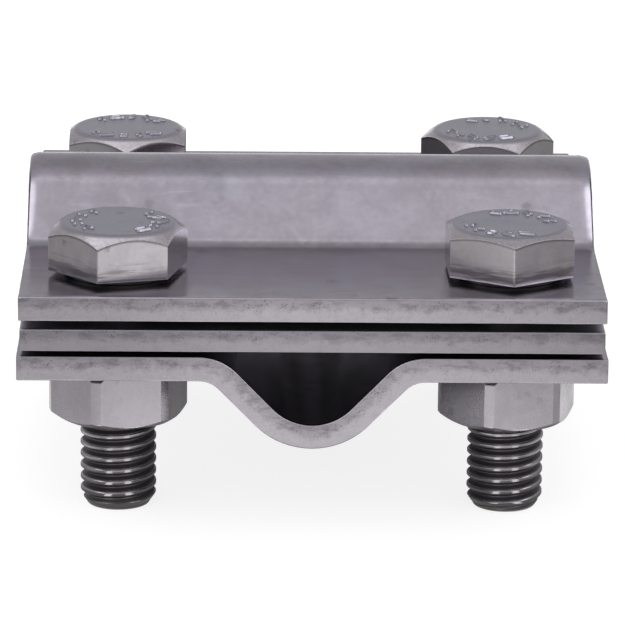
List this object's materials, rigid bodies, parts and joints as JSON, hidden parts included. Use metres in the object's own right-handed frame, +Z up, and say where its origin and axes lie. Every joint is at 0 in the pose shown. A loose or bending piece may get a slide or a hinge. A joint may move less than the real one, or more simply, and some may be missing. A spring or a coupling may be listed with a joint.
{
  "type": "cross connector clamp",
  "caption": "Clamp for two crossing round conductors: two pressed plates with crossed grooves and a flat separator, drawn together by corner screws with nuts.",
  "frame": {"origin": "on the ground under the middle of the clamp, level with the ends of the screws", "axes": "+Z up, from the nuts to the screw heads; the upper groove runs along X and the lower groove along Y"},
  "size_m": [0.0602, 0.0602, 0.0322],
  "materials": {
    "pressed_plate": "pickled rolled sheet with a soft grain, semi-gloss",
    "separator_plate": "rolled sheet, sheared edges",
    "screw": "cold forged, satin to glossy",
    "nut": "cold forged, satin"
  },
  "bodies": {
    "top_plate": {"top_plate": "pressed_plate"},
    "middle_plate": {"middle_plate": "separator_plate"},
    "bottom_plate": {"bottom_plate": "pressed_plate"},
    "bolt_front_left": {"bolt_front_left": "screw"},
    "bolt_front_right": {"bolt_front_right": "screw"},
    "bolt_back_left": {"bolt_back_left": "screw"},
    "bolt_back_right": {"bolt_back_right": "screw"},
    "nut_front_left": {"nut_front_left": "nut"},
    "nut_front_right": {"nut_front_right": "nut"},
    "nut_back_left": {"nut_back_left": "nut"},
    "nut_back_right": {"nut_back_right": "nut"}
  },
  "joints": [
    {"name": "bottom_plate_slide", "type": "slide", "parent": "top_plate", "child": "bottom_plate", "axis": [0, 0, -1], "range_m": [-0.00125, 0.00875]},
    {"name": "middle_plate_slide", "type": "slide", "parent": "top_plate", "child": "middle_plate", "axis": [0, 0, -1], "range_m": [-0.00081, 0.00559]},
    {"name": "nut_front_left_slide", "type": "slide", "parent": "top_plate", "child": "nut_front_left", "axis": [0, 0, -1], "range_m": [-0.00126, 0.00876]},
    {"name": "nut_front_right_slide", "type": "slide", "parent": "top_plate", "child": "nut_front_right", "axis": [0, 0, -1], "range_m": [-0.00126, 0.00876]},
    {"name": "nut_back_left_slide", "type": "slide", "parent": "top_plate", "child": "nut_back_left", "axis": [0, 0, -1], "range_m": [-0.00126, 0.00876]},
    {"name": "nut_back_right_slide", "type": "slide", "parent": "top_plate", "child": "nut_back_right", "axis": [0, 0, -1], "range_m": [-0.00126, 0.00876]},
    {"name": "bolt_front_left_turn", "type": "hinge", "parent": "top_plate", "child": "bolt_front_left", "pos_m": [-0.02, -0.02, 0], "axis": [0, 0, 1], "range_deg": [-361, 2521]},
    {"name": "bolt_front_right_turn", "type": "hinge", "parent": "top_plate", "child": "bolt_front_right", "pos_m": [0.02035, -0.02, 0], "axis": [0, 0, 1], "range_deg": [-361, 2521]},
    {"name": "bolt_back_left_turn", "type": "hinge", "parent": "top_plate", "child": "bolt_back_left", "pos_m": [-0.02, 0.02, 0], "axis": [0, 0, 1], "range_deg": [-361, 2521]},
    {"name": "bolt_back_right_turn", "type": "hinge", "parent": "top_plate", "child": "bolt_back_right", "pos_m": [0.02, 0.02, 0], "axis": [0, 0, 1], "range_deg": [-361, 2521]}
  ],
  "couplings": [
    {"joint": "middle_plate_slide", "follows": "bottom_plate_slide", "ratio": 0.6364},
    {"joint": "nut_front_left_slide", "follows": "bottom_plate_slide", "ratio": 1},
    {"joint": "nut_front_right_slide", "follows": "bottom_plate_slide", "ratio": 1},
    {"joint": "nut_back_left_slide", "follows": "bottom_plate_slide", "ratio": 1},
    {"joint": "nut_back_right_slide", "follows": "bottom_plate_slide", "ratio": 1},
    {"joint": "bolt_front_left_turn", "follows": "bottom_plate_slide", "rad_per_m": 5026.5},
    {"joint": "bolt_front_right_turn", "follows": "bottom_plate_slide", "rad_per_m": 5026.5},
    {"joint": "bolt_back_left_turn", "follows": "bottom_plate_slide", "rad_per_m": 5026.5},
    {"joint": "bolt_back_right_turn", "follows": "bottom_plate_slide", "rad_per_m": 5026.5}
  ]
}
